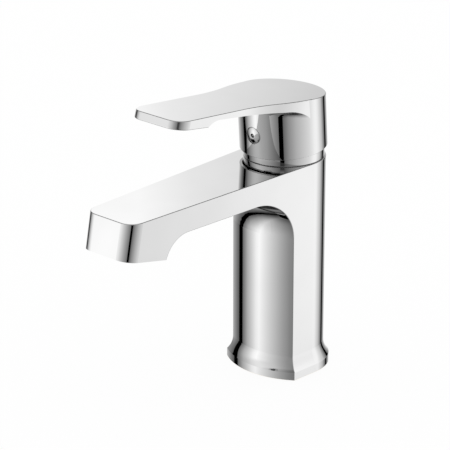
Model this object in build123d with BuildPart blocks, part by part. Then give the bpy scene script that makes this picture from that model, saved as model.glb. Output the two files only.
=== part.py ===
"""Single-lever bathroom basin mixer, closed, in millimetres.

The origin is on the deck, on the axis of the column. +Z is up and the spout
points along -Y. The lever stands in its closed position, tipped forward.
"""
import os
from math import asin, cos, degrees, hypot, radians, sin, sqrt, tan

from build123d import *

os.makedirs("parts", exist_ok=True)

# Column and spout
body_top = 119.5
body_radius = 22.6
side_taper = 2.5
front_corner = 16.1
front_bulge = 22.8
spout_front = 131.9
spout_thickness = 13.4
arch_radius = 25.0
nose_lean = 11.5
nose_height = 18.8
nose_corner = 8.0
nose_cove = 16.2
pad_length = 28.0
edge_round = 0.5

# Foot and underside
foot_height = 4.4
foot_spread = 3.0
cove_height = 8.2
gasket_inset = 2.6
gasket_width = 3.2
gasket_height = 1.9
gasket_recess = 0.15
stud_radius = 3.4
stud_depth = 18.0
stud_back = 11.0
inlet_radius = 4.5
inlet_depth = 14.0
inlet_spread = 6.4
inlet_front = 5.0
water_radius = 3.5

# Lever handle
pivot_rise = 1.0
handle_tilt = 4.0
lever_rise = 9.5
skirt_overhang = 0.95
skirt_wall = 1.4
skirt_gap = 4.8
rim_round = 0.2
hub_height = 35.7
roof_thickness = 4.6
lever_reach = 96.1
tip_half_width = 17.7
waist_half_width = 17.4
waist_reach = 47.4
lever_corner = 8.2
tip_lean = 12.0
tip_thickness = 4.4
pad_thickness = 5.6
pad_reach = 74.5
plate_thickness = 2.8
plate_reach = 66.0
root_thickness = 6.0
root_blend = 5.0
plate_inset = 0.3
boss_radius = 7.5
boss_bottom = 12.0

# Indicator plug and set screw
plug_height = 17.1
plug_radius = 4.6
plug_gap = 0.2
plug_barrel = 3.8
plug_seat = 0.9
plug_rim = 0.5
plug_rise = 0.55
plug_length = 2.5
dimple_radius = 1.15
dimple_depth = 0.8
screw_radius = 2.5
screw_hex = 2.5
screw_socket = 2.0

# Bonnet and retaining nut
bonnet_inset = 0.8
bonnet_wall = 1.6
bonnet_rise = 9.0
bonnet_hole = 14.2
thread_wall = 3.6
thread_depth = 6.0
nut_engaged = 5.5
collar_height = 3.4
collar_gap = 0.8
hex_inset = 2.1
hex_height = 4.0
bonnet_seal_half = 0.75

# Cartridge
cartridge_radius = 17.4
chamber_gap = 0.8
cartridge_wall = 2.7
neck_radius = 13.0
neck_rise = 7.0
roof_height = 3.0
base_height = 5.3
disc_height = 4.0
fixed_disc_gap = 0.4
moving_disc_radius = 10.6
port_spread = 5.2
port_front = 4.6
port_length = 4.2
port_width = 2.4
cavity_length = 13.0
cavity_width = 9.6
cavity_depth = 1.8
cavity_corner = 2.5
cavity_back = 0.9
tongue_length = 8.0
tongue_width = 5.0
tongue_height = 1.0
carrier_radius = 10.4
carrier_height = 5.0
carrier_flat = 9.4
ball_radius = 2.6
ball_sink = 1.2
rotor_radius = 10.5
rotor_rise = 9.0
rotor_flange = 3.4
rotor_slot = 13.6
lug_width = 2.4
lug_length = 10.0
lug_height = 4.0
spindle_width = 8.0
spindle_depth = 7.0
spindle_rise = 27.0
spindle_root = 9.0
spindle_neck = 2.2
pin_radius = 1.6
pin_inset = 0.5
seal_inner = 3.7
seal_outer = 4.6
seal_height = 1.2
outlet_back = 2.2
outlet_radius = 3.0
outlet_floor = 1.5
outlet_slot = 2.0
peg_radius = 2.0
peg_height = 2.2
peg_spread = 9.0
peg_back = 9.0
seal_half = 0.7
seal_drop = 1.5
neck_seal_rise = 4.0

# Aerator and water channel
socket_radius = 11.7
well_radius = 9.0
well_depth = 3.5
aerator_recess = 0.8
aerator_height = 8.6
aerator_wall = 1.7
lip_height = 1.2
lip_width = 1.3
grid_height = 2.0
grid_cell = 1.3
grid_pitch = 3.2
insert_height = 3.6
jet_length = 2.2
jet_width = 1.2
jet_circle = 6.6
jet_count = 12
screen_thickness = 0.6
screen_rise = 1.2
washer_height = 1.6
washer_width = 2.0
channel_width = 20.0
channel_height = 3.8
channel_floor = 1.8

# Clearances
running_gap = 0.3
pin_gap = 0.1
seat_gap = 0.1

# Angles and levels that follow from the driving dimensions
taper = radians(side_taper)
lean = radians(nose_lean)
tilt = radians(handle_tilt)
tip_slant = radians(tip_lean)
underside = body_top - spout_thickness
half_width = body_radius / cos(taper)
corner_width = half_width - front_corner * tan(taper)
pivot_height = body_top + pivot_rise
shoulder = body_top - nut_engaged
roof_under = shoulder - roof_height
flange_top = roof_under - running_gap
flange_base = flange_top - rotor_flange
carrier_top = flange_base - running_gap
carrier_base = carrier_top - carrier_height
moving_disc_base = carrier_base - disc_height
fixed_disc_base = moving_disc_base - disc_height
seat = fixed_disc_base - base_height
ball_height = carrier_top - ball_sink
arm_length = pivot_height - ball_height
ball_reach = arm_length / cos(tilt)
rest_offset = arm_length * tan(tilt)
thread_radius = body_radius - thread_wall
chamber_radius = cartridge_radius + chamber_gap
cartridge_bore = cartridge_radius - cartridge_wall
fixed_disc_radius = cartridge_bore - fixed_disc_gap
neck_bore = rotor_radius + running_gap
slot_width = spindle_width + 2 * running_gap
rotor_top = body_top + rotor_rise
neck_seal_level = body_top + neck_seal_rise
seal_level = shoulder - seal_drop
bonnet_radius = body_radius - bonnet_inset
bonnet_core = bonnet_radius - bonnet_wall
collar_radius = bonnet_core - collar_gap
bonnet_top = pivot_height + bonnet_rise
bonnet_seal_level = body_top + collar_height / 2
skirt_radius = body_radius + skirt_overhang
skirt_inner = skirt_radius - skirt_wall
plate_end_width = skirt_radius - plate_inset
tip_reach = lever_reach + tip_thickness * tan(tip_slant)
aerator_radius = socket_radius - seat_gap
aerator_bore = aerator_radius - aerator_wall
socket_depth = aerator_recess + aerator_height + washer_height

# Nose outline, as distances ahead of the axis and heights
nose_front = spout_front + nose_height * tan(lean)
nose_base = body_top - nose_height
pad_back = nose_front - pad_length * cos(lean)
pad_base = nose_base - pad_length * sin(lean)
cove_drop = underside - pad_base
cove_start = pad_back - sqrt(nose_cove**2 - (nose_cove - cove_drop) ** 2)
end_width = half_width - nose_front * tan(taper)

# Tilted planes: the handle on its pivot, the lever's top, the water outlet
handle_plane = Plane(
    origin=(0, 0, pivot_height), x_dir=(1, 0, 0), z_dir=(0, -sin(tilt), cos(tilt))
)
lever_plane = handle_plane.offset(hub_height).rotated((-lever_rise, 0, 0))
lever_side = Plane(
    origin=lever_plane.origin, x_dir=-lever_plane.y_dir, z_dir=-lever_plane.x_dir
)
handle_side = Plane(
    origin=handle_plane.origin, x_dir=handle_plane.y_dir, z_dir=(1, 0, 0)
)
handle_axis = Axis(handle_plane.origin, handle_plane.z_dir)
pin_plane = Plane(origin=handle_plane.origin, x_dir=(0, 1, 0), z_dir=(1, 0, 0))
plug_plane = Plane(
    origin=handle_plane.from_local_coords((0, 0, plug_height)),
    x_dir=(1, 0, 0),
    z_dir=-handle_plane.y_dir,
)
plug_side = Plane(
    origin=plug_plane.origin, x_dir=(1, 0, 0), z_dir=-handle_plane.z_dir
)
outlet_plane = Plane(
    origin=(0, -(nose_front + pad_back) / 2, (nose_base + pad_base) / 2),
    x_dir=(1, 0, 0),
    z_dir=(0, -sin(lean), -cos(lean)),
)
aerator_face = outlet_plane.offset(-aerator_recess)
screen_base = aerator_face.offset(-lip_height - grid_height - insert_height)
screen_side = Plane(
    origin=screen_base.origin, x_dir=(1, 0, 0), z_dir=outlet_plane.y_dir
)
inlet_places = [(-inlet_spread, -inlet_front), (inlet_spread, -inlet_front)]
outlet_place = (0, outlet_back)
peg_places = [(-peg_spread, peg_back), (peg_spread, peg_back)]

# Honeycomb places that fit inside the lip of the aerator
grid_limit = aerator_bore - lip_width - grid_cell
grid_reach = range(-int(grid_limit / grid_pitch) - 1, int(grid_limit / grid_pitch) + 2)
grid_rows = [
    (grid_pitch * (column + row / 2), grid_pitch * row * sqrt(3) / 2)
    for row in grid_reach
    for column in grid_reach
]
grid_places = [place for place in grid_rows if hypot(*place) < grid_limit]


def column_outline():
    """Lines of the column's section: round back, flat sides, bowed front."""
    back = CenterArc((0, 0), body_radius, -side_taper, 180 + 2 * side_taper)
    right = Line((corner_width, -front_corner), back @ 0)
    left = Line(back @ 1, (-corner_width, -front_corner))
    ThreePointArc(left @ 1, (0, -front_bulge), right @ 0)


def column_section(grow):
    """The column's section as a face, grown outwards by a distance."""
    with BuildLine() as outline:
        column_outline()
    make_face(outline.edges())
    offset(amount=grow, kind=Kind.INTERSECTION)


def ring_face(inner, outer):
    """A flat ring about the origin of the sketch."""
    Circle(outer)
    Circle(inner, mode=Mode.SUBTRACT)


# Inner edges of the gasket and of its groove
with BuildSketch() as groove_core:
    column_section(foot_spread - gasket_inset - gasket_width)
with BuildSketch() as gasket_core:
    column_section(foot_spread - gasket_inset - gasket_width + seat_gap)

# Faucet body: the spout is its side view cut by its plan, then the column
with BuildPart() as faucet_body:
    with BuildSketch(Plane.YZ):
        with BuildLine():
            top = Line((body_radius, body_top), (-spout_front, body_top))
            front = Line(top @ 1, (-nose_front, nose_base))
            pad = Line(front @ 1, (-pad_back, pad_base))
            cove = RadiusArc(pad @ 1, (-cove_start, underside), nose_cove)
            under = Line(cove @ 1, (body_radius, underside))
            Line(under @ 1, top @ 0)
        make_face()
    extrude(amount=2 * body_radius, both=True)
    with BuildSketch():
        with BuildLine():
            back = CenterArc((0, 0), body_radius, -side_taper, 180 + 2 * side_taper)
            right = Line((end_width, -nose_front), back @ 0)
            left = Line(back @ 1, (-end_width, -nose_front))
            Line(left @ 1, right @ 0)
        make_face()
    extrude(amount=body_top, mode=Mode.INTERSECT)
    with BuildSketch():
        with BuildLine():
            column_outline()
        make_face()
    extrude(amount=underside + spout_thickness / 2)
    # Arch under the spout, rounded nose and softened upper edge
    level_edges = faucet_body.edges().filter_by_position(
        Axis.Z, underside - seat_gap, underside + seat_gap
    )
    fillet(level_edges.filter_by(GeomType.CIRCLE).sort_by(Axis.Y)[0], arch_radius)
    nose_edges = faucet_body.faces().sort_by(Axis.Y)[0].edges().sort_by(Axis.X)
    fillet([nose_edges[0], nose_edges[-1]], nose_corner)
    fillet(faucet_body.faces().sort_by(Axis.Z)[-1].edges(), edge_round)
    # Foot: an upright rim and a hollow cove carried round the column
    with BuildLine() as foot_path:
        column_outline()
    path = foot_path.wires()[0]
    heading = path % 0
    foot_plane = Plane(
        origin=path @ 0, x_dir=heading.cross(Vector(0, 0, 1)), z_dir=-heading
    )
    with BuildSketch(foot_plane):
        with BuildLine():
            rim = Polyline(
                (0, foot_height + cove_height),
                (-edge_round, foot_height + cove_height),
                (-edge_round, 0),
                (foot_spread, 0),
                (foot_spread, foot_height),
            )
            cove_radius = (foot_spread**2 + cove_height**2) / (2 * foot_spread)
            RadiusArc(rim @ 1, rim @ 0, cove_radius)
        make_face()
    sweep(path=path, transition=Transition.RIGHT)
    upright = faucet_body.edges().filter_by(Axis.Z).sort_by(SortBy.LENGTH)
    fillet(upright.sort_by(Axis.Y)[:2], edge_round)
    # Chamber for the cartridge, with its thread, pegs and seat
    with BuildSketch(Plane.XY.offset(body_top)):
        Circle(thread_radius)
    extrude(amount=-thread_depth, mode=Mode.SUBTRACT)
    with BuildSketch(Plane.XY.offset(seat)):
        Circle(chamber_radius)
    extrude(amount=body_top - seat, mode=Mode.SUBTRACT)
    with BuildSketch(Plane.XY.offset(seat)):
        with Locations(peg_places):
            Circle(peg_radius + seat_gap)
    extrude(amount=-(peg_height + seat_gap), mode=Mode.SUBTRACT)
    # Water ways: two inlets from below and one channel to the aerator
    with BuildSketch():
        with Locations(inlet_places):
            Circle(inlet_radius)
    extrude(amount=inlet_depth, mode=Mode.SUBTRACT)
    with BuildSketch():
        with Locations(inlet_places):
            Circle(water_radius)
    extrude(amount=seat, mode=Mode.SUBTRACT)
    with BuildSketch(Plane.XZ):
        with Locations((0, underside + channel_floor + channel_height / 2)):
            SlotOverall(channel_width, channel_height)
    extrude(amount=-outlet_plane.origin.Y - well_radius / 2, mode=Mode.SUBTRACT)
    with BuildSketch(outlet_plane):
        Circle(socket_radius)
    extrude(amount=-socket_depth, mode=Mode.SUBTRACT)
    with BuildSketch(outlet_plane):
        Circle(well_radius)
    extrude(amount=-(socket_depth + well_depth), mode=Mode.SUBTRACT)
    # Stud hole and gasket groove in the underside
    with BuildSketch():
        with Locations((0, stud_back)):
            Circle(stud_radius)
    extrude(amount=stud_depth, mode=Mode.SUBTRACT)
    with BuildSketch():
        column_section(foot_spread - gasket_inset)
        add(groove_core.sketch, mode=Mode.SUBTRACT)
    extrude(amount=gasket_height, mode=Mode.SUBTRACT)

# Gasket between the foot and the deck
with BuildPart() as base_gasket:
    with BuildSketch(Plane.XY.offset(gasket_recess)):
        column_section(foot_spread - gasket_inset - seat_gap)
        add(gasket_core.sketch, mode=Mode.SUBTRACT)
    extrude(amount=gasket_height - gasket_recess)

# Bonnet: a zone of a ball centred on the pivot, closed by a flat ring
with BuildPart() as bonnet:
    with BuildSketch(Plane.XZ):
        with BuildLine():
            outer_start = degrees(asin(pivot_rise / bonnet_radius))
            outer_end = degrees(asin(bonnet_rise / bonnet_radius))
            inner_start = degrees(asin(pivot_rise / bonnet_core))
            inner_end = degrees(asin((bonnet_rise - bonnet_wall) / bonnet_core))
            outer = CenterArc(
                (0, pivot_height), bonnet_radius, -outer_start, outer_start + outer_end
            )
            inner = CenterArc(
                (0, pivot_height), bonnet_core, -inner_start, inner_start + inner_end
            )
            Polyline(
                outer @ 1,
                (bonnet_hole, bonnet_top),
                (bonnet_hole, bonnet_top - bonnet_wall),
                inner @ 1,
            )
            Line(inner @ 0, outer @ 0)
        make_face()
    revolve(axis=Axis.Z)
    base_edges = bonnet.edges().filter_by(GeomType.CIRCLE).group_by(Axis.Z)[0]
    fillet(base_edges.sort_by(SortBy.RADIUS)[-1], edge_round)

# Retaining nut: thread, collar with a ring groove, and hexagon
with BuildPart() as retaining_nut:
    with BuildSketch(Plane.XY.offset(shoulder)):
        Circle(thread_radius - seat_gap)
    extrude(amount=nut_engaged + collar_height)
    with BuildSketch(Plane.XY.offset(body_top + seat_gap)):
        Circle(collar_radius)
    extrude(amount=collar_height - seat_gap)
    with BuildSketch(Plane.XY.offset(body_top + collar_height)):
        RegularPolygon(collar_radius - hex_inset, 6)
    extrude(amount=hex_height)
    with BuildSketch(Plane.XY.offset(bonnet_seal_level - bonnet_seal_half - seat_gap)):
        ring_face(bonnet_core - 2 * bonnet_seal_half - 2 * seat_gap, collar_radius + seat_gap)
    extrude(amount=2 * (bonnet_seal_half + seat_gap), mode=Mode.SUBTRACT)
    with BuildSketch(Plane.XY.offset(shoulder)):
        Circle(neck_radius + running_gap)
    extrude(amount=nut_engaged + collar_height + hex_height, mode=Mode.SUBTRACT)

with BuildPart() as bonnet_seal:
    with BuildSketch(Plane.XY.offset(bonnet_seal_level - bonnet_seal_half)):
        ring_face(bonnet_core - 2 * bonnet_seal_half - seat_gap, bonnet_core - seat_gap)
    extrude(amount=2 * bonnet_seal_half)

# Cartridge housing: a cup over the discs with a neck for the turning carrier
with BuildPart() as cartridge_housing:
    with BuildSketch(Plane.XZ):
        with BuildLine():
            Polyline(
                (cartridge_radius, fixed_disc_base),
                (cartridge_radius, seal_level - seal_half - seat_gap),
                (chamber_radius - 2 * seal_half - 2 * seat_gap, seal_level - seal_half - seat_gap),
                (chamber_radius - 2 * seal_half - 2 * seat_gap, seal_level + seal_half + seat_gap),
                (cartridge_radius, seal_level + seal_half + seat_gap),
                (cartridge_radius, shoulder),
                (neck_radius, shoulder),
                (neck_radius, body_top + neck_rise),
                (neck_bore, body_top + neck_rise),
                (neck_bore, roof_under),
                (cartridge_bore, roof_under),
                (cartridge_bore, fixed_disc_base),
                close=True,
            )
        make_face()
    revolve(axis=Axis.Z)

with BuildPart() as cartridge_seal:
    with BuildSketch(Plane.XY.offset(seal_level - seal_half)):
        ring_face(chamber_radius - 2 * seal_half - seat_gap, chamber_radius - seat_gap)
    extrude(amount=2 * seal_half)

# Cartridge base: two water inlets, one outlet turned to the back, two pegs
with BuildPart() as cartridge_base:
    with BuildSketch(Plane.XY.offset(seat)):
        Circle(cartridge_radius)
    extrude(amount=base_height)
    with BuildSketch(Plane.XY.offset(seat)):
        with Locations(peg_places):
            Circle(peg_radius)
    extrude(amount=-peg_height)
    with BuildSketch(Plane.XY.offset(seat)):
        with Locations(inlet_places):
            Circle(water_radius)
    extrude(amount=base_height, mode=Mode.SUBTRACT)
    with BuildSketch(Plane.XY.offset(seat)):
        with Locations(inlet_places):
            Circle(seal_outer)
    extrude(amount=seal_height, mode=Mode.SUBTRACT)
    with BuildSketch(Plane.XY.offset(fixed_disc_base)):
        with Locations(inlet_places + [outlet_place]):
            Circle(seal_outer)
    extrude(amount=-seal_height, mode=Mode.SUBTRACT)
    with BuildSketch(Plane.XY.offset(fixed_disc_base)):
        with Locations(outlet_place):
            Circle(outlet_radius)
    extrude(amount=outlet_floor - base_height, mode=Mode.SUBTRACT)
    with BuildSketch(Plane.XY.offset(seat + outlet_floor)):
        with Locations(outlet_place):
            Rectangle(2 * outlet_radius, cartridge_radius, align=(Align.CENTER, Align.MIN))
    extrude(amount=outlet_slot, mode=Mode.SUBTRACT)

# Rubber rings under the base and under the fixed disc
with BuildPart() as base_seals:
    with BuildSketch(Plane.XY.offset(seat)):
        with Locations(inlet_places):
            ring_face(seal_inner, seal_outer - seat_gap)
    extrude(amount=seal_height)

with BuildPart() as disc_seals:
    with BuildSketch(Plane.XY.offset(fixed_disc_base)):
        with Locations(inlet_places + [outlet_place]):
            ring_face(seal_inner, seal_outer - seat_gap)
    extrude(amount=-seal_height)

# Ceramic discs: the fixed one has three ports, the moving one a hollow below
with BuildPart() as fixed_disc:
    with BuildSketch(Plane.XY.offset(fixed_disc_base)):
        Circle(fixed_disc_radius)
        with Locations((-port_spread, -port_front), (port_spread, -port_front)):
            SlotOverall(port_length, port_width, mode=Mode.SUBTRACT)
        with Locations(outlet_place):
            Circle(outlet_radius, mode=Mode.SUBTRACT)
    extrude(amount=disc_height)

with BuildPart() as moving_disc:
    with BuildSketch(Plane.XY.offset(moving_disc_base)):
        with Locations((0, rest_offset)):
            Circle(moving_disc_radius)
    extrude(amount=disc_height)
    with BuildSketch(Plane.XY.offset(moving_disc_base)):
        with Locations((0, rest_offset + cavity_back)):
            RectangleRounded(cavity_length, cavity_width, cavity_corner)
    extrude(amount=cavity_depth, mode=Mode.SUBTRACT)
    with BuildSketch(Plane.XY.offset(carrier_base)):
        with Locations((0, rest_offset)):
            Rectangle(tongue_length + 2 * seat_gap, tongue_width + 2 * seat_gap)
    extrude(amount=-(tongue_height + seat_gap), mode=Mode.SUBTRACT)

# Carrier that holds the moving disc and takes the ball of the spindle
with BuildPart() as disc_carrier:
    with BuildSketch(Plane.XY.offset(carrier_base)):
        with Locations((0, rest_offset)):
            Circle(carrier_radius)
            Rectangle(2 * carrier_flat, 2 * carrier_radius, mode=Mode.INTERSECT)
    extrude(amount=carrier_height)
    with BuildSketch(Plane.XY.offset(carrier_base)):
        with Locations((0, rest_offset)):
            Rectangle(tongue_length, tongue_width)
    extrude(amount=-tongue_height)
    with BuildSketch(Plane.XY.offset(carrier_top)):
        with Locations((0, rest_offset)):
            Circle(ball_radius + running_gap)
    extrude(amount=-(ball_sink + ball_radius + running_gap), mode=Mode.SUBTRACT)

# Spindle carrier: turns in the neck and steers the disc carrier by two lugs
with BuildPart() as spindle_carrier:
    with BuildSketch(Plane.XY.offset(flange_base)):
        Circle(cartridge_bore - running_gap)
    extrude(amount=rotor_flange)
    with BuildSketch(Plane.XY.offset(flange_base)):
        Circle(rotor_radius)
    extrude(amount=rotor_top - flange_base)
    with BuildSketch(Plane.XY.offset(flange_base)):
        lug_place = carrier_flat + running_gap + lug_width / 2
        with Locations((-lug_place, 0), (lug_place, 0)):
            Rectangle(lug_width, lug_length)
        Circle(cartridge_bore - running_gap, mode=Mode.INTERSECT)
    extrude(amount=-lug_height)
    with BuildSketch(Plane.XY.offset(flange_base)):
        Rectangle(slot_width, rotor_slot)
    extrude(amount=rotor_top - flange_base, mode=Mode.SUBTRACT)
    with BuildSketch(pin_plane):
        Circle(pin_radius + pin_gap)
    extrude(amount=rotor_radius, both=True, mode=Mode.SUBTRACT)
    with BuildSketch(Plane.XY.offset(neck_seal_level - seal_half - seat_gap)):
        ring_face(neck_bore - 2 * seal_half - 2 * seat_gap, neck_bore)
    extrude(amount=2 * (seal_half + seat_gap), mode=Mode.SUBTRACT)

with BuildPart() as neck_seal:
    with BuildSketch(Plane.XY.offset(neck_seal_level - seal_half)):
        ring_face(neck_bore - 2 * seal_half - seat_gap, neck_bore - seat_gap)
    extrude(amount=2 * seal_half)

with BuildPart() as pivot_pin:
    with BuildSketch(pin_plane):
        Circle(pin_radius)
    extrude(amount=rotor_radius - pin_inset, both=True)

# Spindle: a square bar on the pin, with a ball at its lower end
with BuildPart(handle_plane) as spindle:
    with Locations((0, 0, -ball_reach)):
        Sphere(ball_radius)
    with BuildSketch(handle_plane.offset(-ball_reach)):
        Circle(spindle_neck)
    extrude(amount=ball_reach - spindle_root)
    with BuildSketch(handle_plane.offset(-spindle_root)):
        Rectangle(spindle_width, spindle_depth)
    extrude(amount=spindle_root + spindle_rise)
    with BuildSketch(pin_plane):
        Circle(pin_radius + pin_gap)
    extrude(amount=spindle_width, both=True, mode=Mode.SUBTRACT)

# Lever plate: its plan with a waist, cut by its side view with a thicker tip
with BuildPart() as lever_plate:
    with BuildSketch(lever_plane):
        with BuildLine():
            tip = Line((0, -tip_reach), (tip_half_width, -tip_reach))
            edge = Line(tip @ 1, (waist_half_width, -waist_reach))
            middle = ((waist_half_width + plate_end_width) / 2, -waist_reach / 2)
            hollow = TangentArc(edge @ 1, middle, tangent=edge % 1)
            swell = TangentArc(hollow @ 1, (plate_end_width, 0), tangent=hollow % 1)
            Line(swell @ 1, (0, 0))
            mirror(about=Plane.YZ)
        make_face()
    extrude(amount=-2 * root_thickness)
    with BuildSketch(lever_side):
        with BuildLine():
            crown = Line((0, 0), (lever_reach, 0))
            tip = Line(crown @ 1, (tip_reach, -tip_thickness))
            pad = Line(tip @ 1, (pad_reach, -pad_thickness))
            sole = Line((0, -root_thickness), (plate_reach, -plate_thickness))
            TangentArc(sole @ 1, pad @ 1, tangent=sole % 1)
            Line(sole @ 0, crown @ 0)
        make_face()
    extrude(amount=2 * body_radius, both=True, mode=Mode.INTERSECT)
    corners = lever_plate.faces().sort_by(Axis.Y)[0].edges().sort_by(Axis.X)
    fillet([corners[0], corners[-1]], lever_corner)
    top_axis = Axis(lever_plane.origin, lever_plane.z_dir)
    outline = lever_plate.faces().sort_by(top_axis)[-1].edges()
    fillet(outline.sort_by(Axis.Y)[:-1], edge_round)
    pad_face = lever_plate.faces().filter_by(GeomType.PLANE).filter_by_position(
        Axis.Y, -tip_reach, -pad_reach
    ).sort_by(Axis.Z)[0]
    fillet(pad_face.edges().sort_by(Axis.Y)[:-1], edge_round)

# Hollow of the handle, below a roof that follows the lever's top
with BuildPart() as handle_hollow:
    with BuildSketch(handle_plane):
        Circle(skirt_inner)
    extrude(amount=hub_height + roof_thickness)
    split(bisect_by=lever_plane.offset(-roof_thickness), keep=Keep.BOTTOM)

# Lever handle: round skirt, plate, and a boss on the square of the spindle
with BuildPart() as lever_handle:
    with BuildSketch(handle_plane.offset(skirt_gap)):
        Circle(skirt_radius)
    extrude(amount=hub_height + roof_thickness - skirt_gap)
    split(bisect_by=lever_plane, keep=Keep.BOTTOM)
    fillet(lever_handle.faces().sort_by(top_axis)[-1].edges(), edge_round)
    add(lever_plate.part)
    # Blend under the root of the plate, then soften the top and the rim
    curves = lever_handle.edges().filter_by(GeomType.ELLIPSE)
    middle_curves = curves.filter_by_position(Axis.X, -plug_radius, plug_radius)
    fillet(middle_curves.sort_by(Axis.Y)[0], root_blend)
    rims = lever_handle.edges().filter_by(GeomType.CIRCLE).sort_by(handle_axis)
    fillet(rims[0], rim_round)
    add(handle_hollow.part, mode=Mode.SUBTRACT)
    with BuildSketch(handle_plane.offset(boss_bottom)):
        Circle(boss_radius)
    extrude(amount=hub_height - roof_thickness / 2 - boss_bottom)
    with BuildSketch(handle_plane.offset(boss_bottom)):
        Rectangle(spindle_width + 2 * seat_gap, spindle_depth + 2 * seat_gap)
    extrude(amount=spindle_rise + seat_gap - boss_bottom, mode=Mode.SUBTRACT)
    with BuildSketch(plug_plane):
        Circle(screw_radius)
    extrude(amount=boss_radius + seat_gap, mode=Mode.SUBTRACT)
    with BuildSketch(plug_plane.offset(boss_radius + seat_gap)):
        Circle(plug_barrel + seat_gap)
    extrude(amount=skirt_radius - boss_radius, mode=Mode.SUBTRACT)
    with BuildSketch(plug_plane.offset(skirt_radius - plug_seat)):
        Circle(plug_radius + plug_gap)
    extrude(amount=2 * plug_seat, mode=Mode.SUBTRACT)

# Set screw between the boss and the spindle, with a hexagon socket
with BuildPart() as set_screw:
    with BuildSketch(plug_plane.offset(spindle_depth / 2)):
        Circle(screw_radius - seat_gap)
    extrude(amount=boss_radius - spindle_depth / 2 - running_gap)
    with BuildSketch(plug_plane.offset(boss_radius - running_gap)):
        RegularPolygon(screw_hex / 2, 6, major_radius=False)
    extrude(amount=-screw_socket, mode=Mode.SUBTRACT)

# Indicator plug: a domed button with a barrel and a dimple
with BuildPart() as indicator_plug:
    with BuildSketch(plug_side):
        with BuildLine():
            stem = Polyline(
                (0, skirt_radius + plug_rise),
                (0, skirt_radius - plug_seat - plug_length),
                (plug_barrel, skirt_radius - plug_seat - plug_length),
                (plug_barrel, skirt_radius - plug_seat),
                (plug_radius, skirt_radius - plug_seat),
                (plug_radius, skirt_radius - plug_seat + plug_rim),
            )
            TangentArc(stem @ 0, stem @ 1, tangent=(1, 0))
        make_face()
    revolve(axis=Axis(plug_plane.origin, plug_plane.z_dir))
    with BuildSketch(plug_plane.offset(skirt_radius + plug_rise)):
        Circle(dimple_radius)
    extrude(amount=-dimple_depth, mode=Mode.SUBTRACT)

# Aerator housing: a sleeve in the nose with an inward lip at the mouth
with BuildPart() as aerator_housing:
    with BuildSketch(aerator_face):
        ring_face(aerator_bore, aerator_radius)
    extrude(amount=-aerator_height)
    with BuildSketch(aerator_face):
        ring_face(aerator_bore - lip_width, aerator_radius)
    extrude(amount=-lip_height)

# Honeycomb grid at the mouth
with BuildPart() as aerator_grid:
    with BuildSketch(aerator_face.offset(-lip_height)):
        Circle(aerator_bore - seat_gap)
        with Locations(grid_places):
            RegularPolygon(grid_cell, 6, major_radius=False, mode=Mode.SUBTRACT)
    extrude(amount=-grid_height)

# Insert with a ring of jets, domed screen and sealing washer behind it
with BuildPart() as aerator_insert:
    with BuildSketch(aerator_face.offset(-lip_height - grid_height)):
        Circle(aerator_bore - seat_gap)
        with PolarLocations(jet_circle, jet_count):
            Rectangle(jet_length, jet_width, mode=Mode.SUBTRACT)
    extrude(amount=-insert_height)

with BuildPart() as aerator_screen:
    with BuildSketch(screen_side):
        with BuildLine():
            upper = TangentArc(
                (0, screen_rise + screen_thickness),
                (aerator_bore - lip_width, screen_thickness),
                tangent=(1, 0),
            )
            lower = TangentArc((0, screen_rise), (aerator_bore - lip_width, 0), tangent=(1, 0))
            Polyline(
                upper @ 1,
                (aerator_bore - seat_gap, screen_thickness),
                (aerator_bore - seat_gap, 0),
                lower @ 1,
            )
            Line(upper @ 0, lower @ 0)
        make_face()
    revolve(axis=Axis(screen_side.origin, outlet_plane.z_dir))

with BuildPart() as aerator_washer:
    with BuildSketch(aerator_face.offset(-aerator_height)):
        ring_face(aerator_radius - washer_width, aerator_radius)
    extrude(amount=-washer_height)

pieces = {
    "faucet_body": faucet_body,
    "base_gasket": base_gasket,
    "bonnet": bonnet,
    "bonnet_seal": bonnet_seal,
    "retaining_nut": retaining_nut,
    "cartridge_housing": cartridge_housing,
    "cartridge_seal": cartridge_seal,
    "cartridge_base": cartridge_base,
    "base_seals": base_seals,
    "disc_seals": disc_seals,
    "fixed_disc": fixed_disc,
    "moving_disc": moving_disc,
    "disc_carrier": disc_carrier,
    "spindle_carrier": spindle_carrier,
    "neck_seal": neck_seal,
    "pivot_pin": pivot_pin,
    "spindle": spindle,
    "lever_handle": lever_handle,
    "set_screw": set_screw,
    "indicator_plug": indicator_plug,
    "aerator_housing": aerator_housing,
    "aerator_grid": aerator_grid,
    "aerator_insert": aerator_insert,
    "aerator_screen": aerator_screen,
    "aerator_washer": aerator_washer,
}
for name, piece in pieces.items():
    piece.part.label = name
    export_step(piece.part, f"parts/{name}.step")
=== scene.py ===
# %% [markdown]
# # A single-lever basin mixer in polished chrome
# The metal shapes come from the CAD model, already at their real size and place.
# This lesson dresses them. First comes a studio that gives chrome something to mirror, then the
# finishes with their fine detail, and last what is too fine for the solid model: the rounded plug
# on the front of the handle, and the threads in the three holes under the foot.

# %% Load the fixed frame
from math import atan2, cos, degrees, pi, radians, sin

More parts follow.
